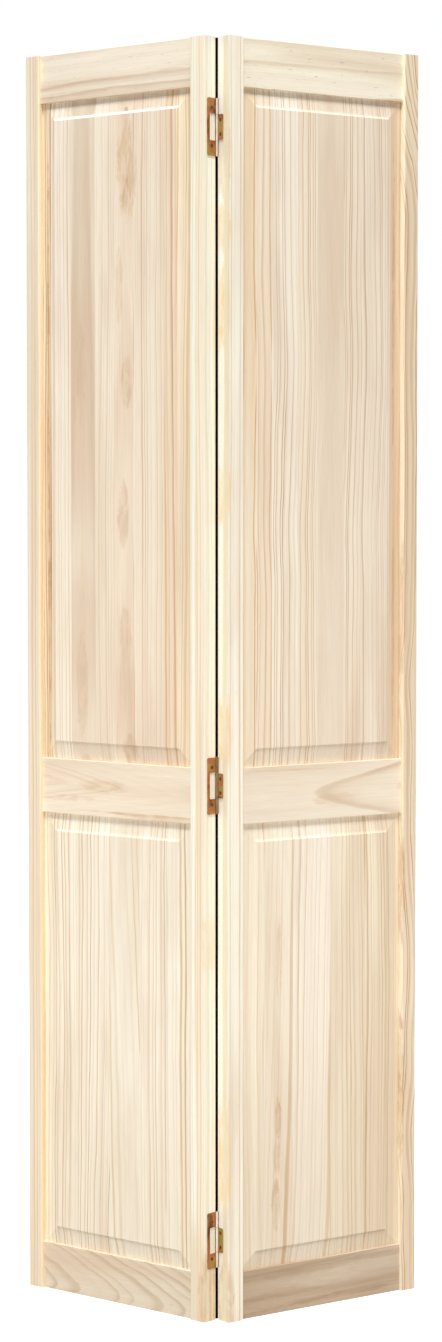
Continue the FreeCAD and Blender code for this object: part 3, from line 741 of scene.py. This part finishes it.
def hinge_zinc(name, level, tones, patch_size, rise, bow, barrel):
    """Yellow zinc plating, whose tones change with height, and on whose knuckles light and shade are
    painted.

    rise and bow: how the tones shift with height from the hinge's middle, in straight and in squared
    steps, for each hinge height. barrel: the tones of the knuckles where they face forwards, the pale ones
    being a painted highlight; their sides darken to painted shade.
    """
    graph = MaterialGraph(name)
    point = graph.coordinate("Object")
    low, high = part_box(f"{level}_hinge_outer_leaf")
    above = graph.math("SUBTRACT", graph.dot(point, UP), (low.z + high.z) / 2)
    above = graph.math("DIVIDE", above, high.z - low.z)
    patch = graph.math("MULTIPLY_ADD", above, rise, tone_patches(graph, patch_size))
    patch = graph.math("MULTIPLY_ADD", graph.math("MULTIPLY", above, above), bow, patch)
    plate = graph.ramp(patch, tones)

    from_axis = graph.stretch(graph.vector_math("SUBTRACT", point, tuple(AXIS))[0], (1.0, 1.0, 0.0))
    radius = graph.vector_math("LENGTH", from_axis)["Value"]
    front = graph.dot(graph.coordinate("Normal"), FORWARDS)
    # Painted light on the knuckles: their sides darken to painted shade, and their fronts take the barrel
    # tones, pale ones a painted highlight
    knuckle_shading = graph.mix(graph.span(front, 0.72, 0.93), KNUCKLE_SIDE_SHADE, graph.ramp(patch, barrel))
    on_barrel = graph.span(radius, BARREL_RADIUS, BARREL_RADIUS + BARREL_BLEND, 1.0, 0.0)
    return brushed_metal(graph, graph.mix(on_barrel, plate, knuckle_shading), ZINC_ROUGHNESS)


def dress(node, material):
    """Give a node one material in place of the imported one."""
    mesh = frame["nodes"][node].data
    mesh.materials.clear()
    mesh.materials.append(material)


def dress_hinge_leaves(level, rise, bow, green, barrel):
    """The metals of one hinge. green moves the inner leaf's tones towards olive."""
    outer = [(place + BOW_SHIFT * bow, tone) for place, tone in OUTER_TONES]
    inner = [(place - green, tone) for place, tone in INNER_TONES]
    dress(f"{level}_hinge_outer_leaf",
          hinge_zinc(f"{level} outer leaf zinc", level, outer, OUTER_PATCH, rise, bow, barrel))
    dress(f"{level}_hinge_inner_leaf",
          hinge_zinc(f"{level} inner leaf zinc", level, inner, INNER_PATCH, 0.0, INNER_BOW, barrel))


def dress_hinges():
    dress_hinge_leaves("top", rise=-0.20, bow=0.7, green=0.00, barrel=PALE_BARREL_HIGHLIGHT)
    dress_hinge_leaves("middle", rise=0.05, bow=0.6, green=0.03, barrel=DARK_BARREL)
    dress_hinge_leaves("bottom", rise=-0.35, bow=0.5, green=0.22, barrel=PALE_BARREL_HIGHLIGHT)
    pin_steel = plated_steel("bright pin steel", PIN_TONES, PIN_PATCH, PIN_ROUGHNESS)
    screw_zinc = plated_steel("screw plating", SCREW_TONES, SCREW_PATCH, SCREW_ROUGHNESS)
    for level in LEVELS:
        dress(f"{level}_hinge_pin", pin_steel)
        for side in SIDES:
            dress(f"{level}_hinge_{side}_screws", screw_zinc)


def dress_leaves():
    dowels = dowel_wood()
    for name, side in SIDES.items():
        for part, board in BOARDS[name].items():
            dress(f"{name}_{part}", wood(board, side))
        for level in LEVELS:
            dress(f"{name}_{level}_rail_dowels", dowels)


# ---- Studio ----

# A slightly warm fill under a slightly cool key keeps the shadows brown and the faces neutral
COOL_WHITE = tint(250, 253, 255)
WARM_WHITE = tint(255, 246, 236)

# The strength of the light from all round, where the surroundings aren't seen directly
AMBIENT = 0.14

# The floor is this many metres wide, and glows this strongly where it is seen directly
FLOOR_SIZE = 16.0
FLOOR_GLOW = 0.8
FLOOR_TONES = [(0.3, tint(160, 159, 157)), (0.7, tint(166, 165, 164))]

# A dark strip behind the gap between the leaves, clear of the hinge barrels: painted shade, a sheet that
# stands in for the shade seen through the gap
GAP_STRIP_LEFT = -0.0028
GAP_STRIP_RIGHT = 0.0016
GAP_STRIP_BEHIND_AXIS = 0.0045
GAP_SHADE_TONES = [(0.3, tint(14, 10, 6)), (0.7, tint(24, 18, 10))]

# The low softboxes stand this far to each side and to the front, and the left one is a little stronger
LOW_BOX_AWAY = 1.6
LOW_BOX_HEIGHT = 0.7
LOW_BOX_POWERS = {"left": 15.6, "right": 14.4}

# The camera's place in metres, its tilt up from straight down and its turn to the left in degrees, and
# its lens and sensor in millimetres
CAMERA_PLACE = (0.1802, -4.8846, 1.2815)
CAMERA_TILT = 86.942
CAMERA_TURN = 2.082
CAMERA_LENS = 82.31
SENSOR_SIZE = 36.0


def placed(name, data):
    """A new object in the scene."""
    thing = bpy.data.objects.new(name, data)
    bpy.context.scene.collection.objects.link(thing)
    return thing


def seen_directly(graph):
    """1 for rays that meet the surroundings as white: from the camera, and by way of metal or glass."""
    path = graph.add("ShaderNodeLightPath")
    seen = graph.math("MAXIMUM", path.outputs["Is Camera Ray"], path.outputs["Is Glossy Ray"])
    return graph.math("MAXIMUM", seen, path.outputs["Is Transmission Ray"])


def floor():
    """A plain pale floor that shows white round the door and keeps its shadow."""
    graph = MaterialGraph("pale floor")
    grain = graph.noise(graph.coordinate("Object"), (3.0, 3.0, 3.0))
    diffuse = graph.add("ShaderNodeBsdfDiffuse", {"Color": graph.ramp(grain, FLOOR_TONES)})
    strength = graph.math("MULTIPLY", seen_directly(graph), FLOOR_GLOW)
    glow = graph.add("ShaderNodeEmission", {"Strength": strength})
    both = graph.add("ShaderNodeAddShader", {0: diffuse.outputs[0], 1: glow.outputs[0]})
    bpy.ops.mesh.primitive_plane_add(size=FLOOR_SIZE)
    plane = bpy.context.object
    plane.name = "floor"
    plane.data.materials.append(graph.finish(both))


def painted_gap_shade():
    """Painted shade: a dark sheet behind the gap, over the whole height of the door, that stands in for
    the shade seen through it.
    """
    graph = MaterialGraph("painted gap shade")
    grain = graph.noise(graph.coordinate("Object"), (60.0, 60.0, 9.0))
    shader = graph.add("ShaderNodeBsdfDiffuse", {"Color": graph.ramp(grain, GAP_SHADE_TONES)})
    low, high = cad_box
    y = AXIS.y + GAP_STRIP_BEHIND_AXIS
    corners = [(GAP_STRIP_LEFT, y, low.z), (GAP_STRIP_RIGHT, y, low.z),
               (GAP_STRIP_RIGHT, y, high.z), (GAP_STRIP_LEFT, y, high.z)]
    mesh = bpy.data.meshes.new("painted_gap_shade")
    mesh.from_pydata(corners, [], [(0, 1, 2, 3)])
    mesh.materials.append(graph.finish(shader))
    placed(mesh.name, mesh)


def surroundings():
    """White where it is seen, and a dim light on everything else."""
    world = bpy.data.worlds.new("studio")
    world.use_nodes = True
    bpy.context.scene.world = world
    graph = Graph(world.node_tree)
    strength = graph.add("ShaderNodeMapRange", {
        "Value": seen_directly(graph), "To Min": AMBIENT, "To Max": 1.0})
    background = graph.add("ShaderNodeBackground", {
        "Color": tint(255, 255, 255), "Strength": strength.outputs[0]})
    graph.add("ShaderNodeOutputWorld", {"Surface": background.outputs[0]})


def lamp(name, kind, power, colour):
    data = bpy.data.lights.new(name, kind)
    data.energy = power
    data.color = colour[:3]
    return placed(name, data)


def softbox(name, place, aim, size, power, colour):
    """A rectangular light at a place, aimed at another. The power is in watts."""
    box = lamp(name, "AREA", power, colour)
    box.data.shape = "RECTANGLE"
    box.data.size, box.data.size_y = size
    box.location = place
    box.rotation_euler = (Vector(aim) - Vector(place)).to_track_quat("-Z", "Y").to_euler()


def soft_sun(name, elevation, width, power, colour):
    """A distant light from in front and above. Angles are in degrees, power in watts a square metre."""
    sun = lamp(name, "SUN", power, colour)
    sun.data.angle = math.radians(width)
    sun.rotation_euler.x = math.radians(90 - elevation)


def lights():
    softbox("overhead softbox", place=(0, -0.5, 3.2), aim=(0, 0, 1.9), size=(1.0, 0.4), power=17,
            colour=COOL_WHITE)
    for name, side in SIDES.items():
        softbox(f"{name} low softbox", place=(side * LOW_BOX_AWAY, -LOW_BOX_AWAY, LOW_BOX_HEIGHT),
                aim=(0, 0, LOW_BOX_HEIGHT), size=(0.9, 1.0), power=LOW_BOX_POWERS[name],
                colour=WARM_WHITE)
    softbox("back softbox", place=(0, 3.4, 1.8), aim=(0, 0, 1.0), size=(2.4, 2.4), power=112,
            colour=WARM_WHITE)
    soft_sun("key sun", elevation=65, width=16, power=3.1, colour=COOL_WHITE)


def camera():
    data = bpy.data.cameras.new("camera")
    data.sensor_width = SENSOR_SIZE
    data.lens = CAMERA_LENS
    holder = placed("camera", data)
    holder.location = CAMERA_PLACE
    holder.rotation_euler = Euler((math.radians(CAMERA_TILT), 0.0, math.radians(CAMERA_TURN)))
    bpy.context.scene.camera = holder


dress_leaves()
dress_hinges()
floor()
painted_gap_shade()
surroundings()
lights()
camera()
bpy.context.scene.view_settings.view_transform = "Standard"
